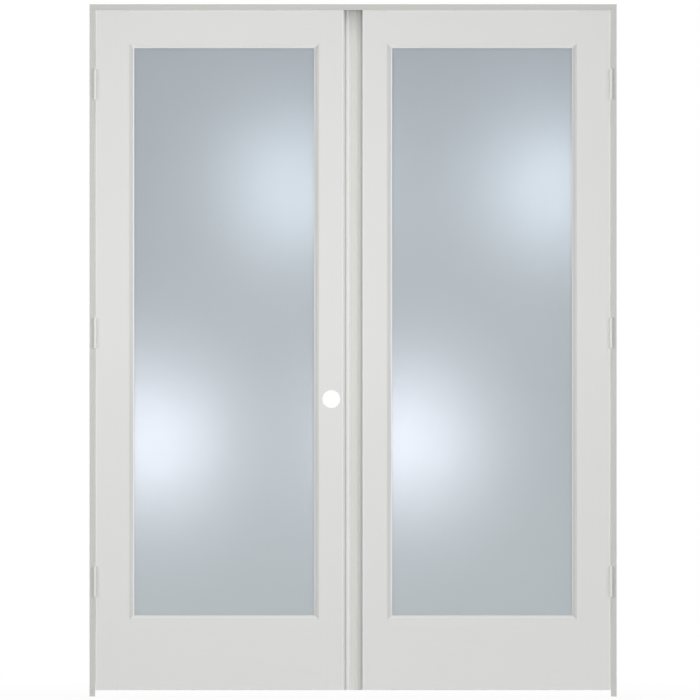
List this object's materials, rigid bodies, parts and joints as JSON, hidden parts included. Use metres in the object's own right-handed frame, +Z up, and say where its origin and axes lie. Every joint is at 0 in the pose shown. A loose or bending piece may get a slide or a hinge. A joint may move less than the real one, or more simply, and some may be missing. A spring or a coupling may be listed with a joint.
{
  "type": "french doors",
  "caption": "Glazed french doors with frosted panes, hung on butt hinges in a jamb frame; the active leaf is bored for a lockset, the passive leaf carries an astragal and flush bolts.",
  "frame": {"origin": "on the floor line, midway between the jambs and midway through their depth", "axes": "+X to the right and +Z up as seen from the side that the leaves open to, +Y away from that side"},
  "size_m": [1.575, 0.1278, 2.0685],
  "materials": {
    "primed_leaf": "smooth white primer",
    "primed_frame": "smooth pale grey primer",
    "primed_astragal": "smooth warm white primer",
    "frosted_glass": "frosted",
    "glazing_tape": "matt foam",
    "setting_block": "matt",
    "white_hinge": "white paint",
    "satin_steel": "satin"
  },
  "bodies": {
    "frame": {"head_jamb": "primed_frame", "head_stop": "primed_leaf", "head_strike_plate": "satin_steel", "left_jamb": "primed_frame", "left_lower_hinge_frame_plate": "white_hinge", "left_lower_hinge_pin": "white_hinge", "left_middle_hinge_frame_plate": "white_hinge", "left_middle_hinge_pin": "white_hinge", "left_stop": "primed_leaf", "left_upper_hinge_frame_plate": "white_hinge", "left_upper_hinge_pin": "white_hinge", "right_jamb": "primed_frame", "right_lower_hinge_frame_plate": "white_hinge", "right_lower_hinge_pin": "white_hinge", "right_middle_hinge_frame_plate": "white_hinge", "right_middle_hinge_pin": "white_hinge", "right_stop": "primed_leaf", "right_upper_hinge_frame_plate": "white_hinge", "right_upper_hinge_pin": "white_hinge"},
    "active_leaf": {"left_leaf_bottom_bead": "primed_leaf", "left_leaf_bottom_rail": "primed_leaf", "left_leaf_frosted_glass": "frosted_glass", "left_leaf_glazing_tape": "glazing_tape", "left_leaf_hinge_side_bead": "primed_leaf", "left_leaf_hinge_stile": "primed_leaf", "left_leaf_lock_side_bead": "primed_leaf", "left_leaf_lock_stile": "primed_leaf", "left_leaf_setting_blocks": "setting_block", "left_leaf_top_bead": "primed_leaf", "left_leaf_top_rail": "primed_leaf", "left_lower_hinge_door_plate": "white_hinge", "left_middle_hinge_door_plate": "white_hinge", "left_upper_hinge_door_plate": "white_hinge"},
    "passive_leaf": {"astragal": "primed_astragal", "lower_bolt_plate": "satin_steel", "right_leaf_bottom_bead": "primed_leaf", "right_leaf_bottom_rail": "primed_leaf", "right_leaf_frosted_glass": "frosted_glass", "right_leaf_glazing_tape": "glazing_tape", "right_leaf_hinge_side_bead": "primed_leaf", "right_leaf_hinge_stile": "primed_leaf", "right_leaf_meeting_side_bead": "primed_leaf", "right_leaf_meeting_stile": "primed_leaf", "right_leaf_setting_blocks": "setting_block", "right_leaf_top_bead": "primed_leaf", "right_leaf_top_rail": "primed_leaf", "right_lower_hinge_door_plate": "white_hinge", "right_middle_hinge_door_plate": "white_hinge", "right_upper_hinge_door_plate": "white_hinge", "upper_bolt_plate": "satin_steel"},
    "upper_bolt": {"upper_bolt": "satin_steel"},
    "lower_bolt": {"lower_bolt": "satin_steel"}
  },
  "joints": [
    {"name": "active_leaf_swing", "type": "hinge", "parent": "frame", "child": "active_leaf", "pos_m": [-0.7708, -0.06445, 1], "axis": [0, 0, -1], "range_deg": [0, 170]},
    {"name": "passive_leaf_swing", "type": "hinge", "parent": "frame", "child": "passive_leaf", "pos_m": [0.7708, -0.06445, 1], "axis": [0, 0, 1], "range_deg": [0, 170]},
    {"name": "upper_bolt_slide", "type": "slide", "parent": "passive_leaf", "child": "upper_bolt", "axis": [0, 0, 1], "range_m": [0, 0.016]},
    {"name": "lower_bolt_slide", "type": "slide", "parent": "passive_leaf", "child": "lower_bolt", "axis": [0, 0, -1], "range_m": [0, 0.016]}
  ]
}
